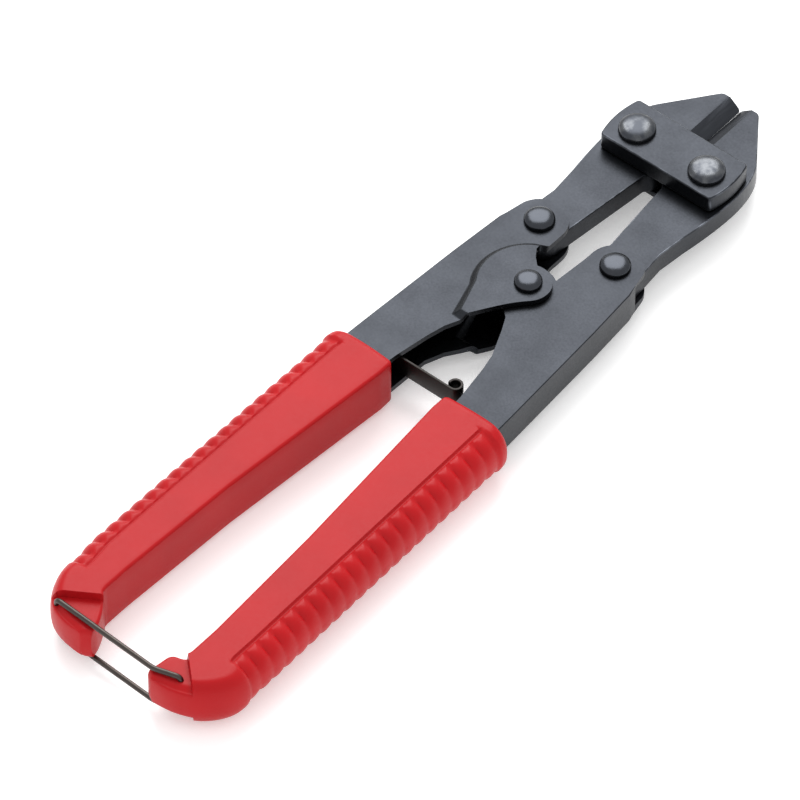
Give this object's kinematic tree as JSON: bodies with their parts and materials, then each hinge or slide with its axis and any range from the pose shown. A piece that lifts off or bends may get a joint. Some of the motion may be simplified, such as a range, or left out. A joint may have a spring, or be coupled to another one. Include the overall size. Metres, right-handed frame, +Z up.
{
  "type": "bolt cutters",
  "caption": "Small compound-lever bolt cutters with bevelled jaws between strap plates, sheet-steel handles in red ribbed grips, a return spring and a wire tail latch.",
  "frame": {"origin": "under the middle of the tool's box, on the plane it lies on", "axes": "+Y towards the jaw tips, +X towards the handle that carries the latch wire, +Z up, along every pivot"},
  "size_m": [0.0518, 0.2038, 0.0163],
  "materials": {
    "blackened_steel": "blackened, satin, light wear on edges",
    "worn_steel": "blackened, rubbed bright on the domes",
    "red_vinyl": "moulded soft vinyl, satin to glossy",
    "wire_steel": "drawn spring wire, dark",
    "spring_steel": "tempered strip, dark"
  },
  "bodies": {
    "head": {"strap_plate_top": "blackened_steel", "strap_plate_bottom": "blackened_steel", "jaw_rivet_left": "worn_steel", "jaw_rivet_right": "worn_steel"},
    "jaw_left": {"jaw_left": "blackened_steel"},
    "jaw_right": {"jaw_right": "blackened_steel"},
    "handle_left": {"handle_left": "blackened_steel", "grip_left": "red_vinyl", "link_rivet_left": "blackened_steel", "centre_rivet": "blackened_steel", "centre_spacer": "blackened_steel"},
    "handle_right": {"handle_right": "blackened_steel", "grip_right": "red_vinyl", "link_rivet_right": "blackened_steel"},
    "spring": {"return_spring": "spring_steel"},
    "latch": {"latch_wire": "wire_steel"}
  },
  "joints": [
    {"name": "jaw_left_pivot", "type": "hinge", "parent": "head", "child": "jaw_left", "pos_m": [-0.0095, 0.07808, 0.0073], "axis": [0, 0, 1], "range_deg": [0, 6.5]},
    {"name": "jaw_right_pivot", "type": "hinge", "parent": "head", "child": "jaw_right", "pos_m": [0.0095, 0.07808, 0.0073], "axis": [0, 0, 1], "range_deg": [-6.6, 0]},
    {"name": "handle_left_pivot", "type": "hinge", "parent": "jaw_left", "child": "handle_left", "pos_m": [-0.01035, 0.04648, 0.0073], "axis": [0, 0, 1], "range_deg": [-18.6, 0]},
    {"name": "handle_right_pivot", "type": "hinge", "parent": "jaw_right", "child": "handle_right", "pos_m": [0.01035, 0.04648, 0.0073], "axis": [0, 0, 1], "range_deg": [0, 18.6]},
    {"name": "spring_flex", "type": "hinge", "parent": "handle_left", "child": "spring", "pos_m": [-0.0159, 0.02348, 0.0073], "axis": [0, 0, 1], "range_deg": [0, 25]},
    {"name": "latch_swing", "type": "hinge", "parent": "handle_right", "child": "latch", "pos_m": [0.015, -0.09842, 0.0073], "axis": [0, 0, 1], "range_deg": [0, 90]}
  ],
  "couplings": [
    {"joint": "jaw_right_pivot", "follows": "jaw_left_pivot", "ratio": -1},
    {"joint": "handle_left_pivot", "follows": "jaw_left_pivot", "ratio": -2.85},
    {"joint": "handle_right_pivot", "follows": "jaw_left_pivot", "ratio": 2.85},
    {"joint": "spring_flex", "follows": "jaw_left_pivot", "ratio": 3.8}
  ]
}
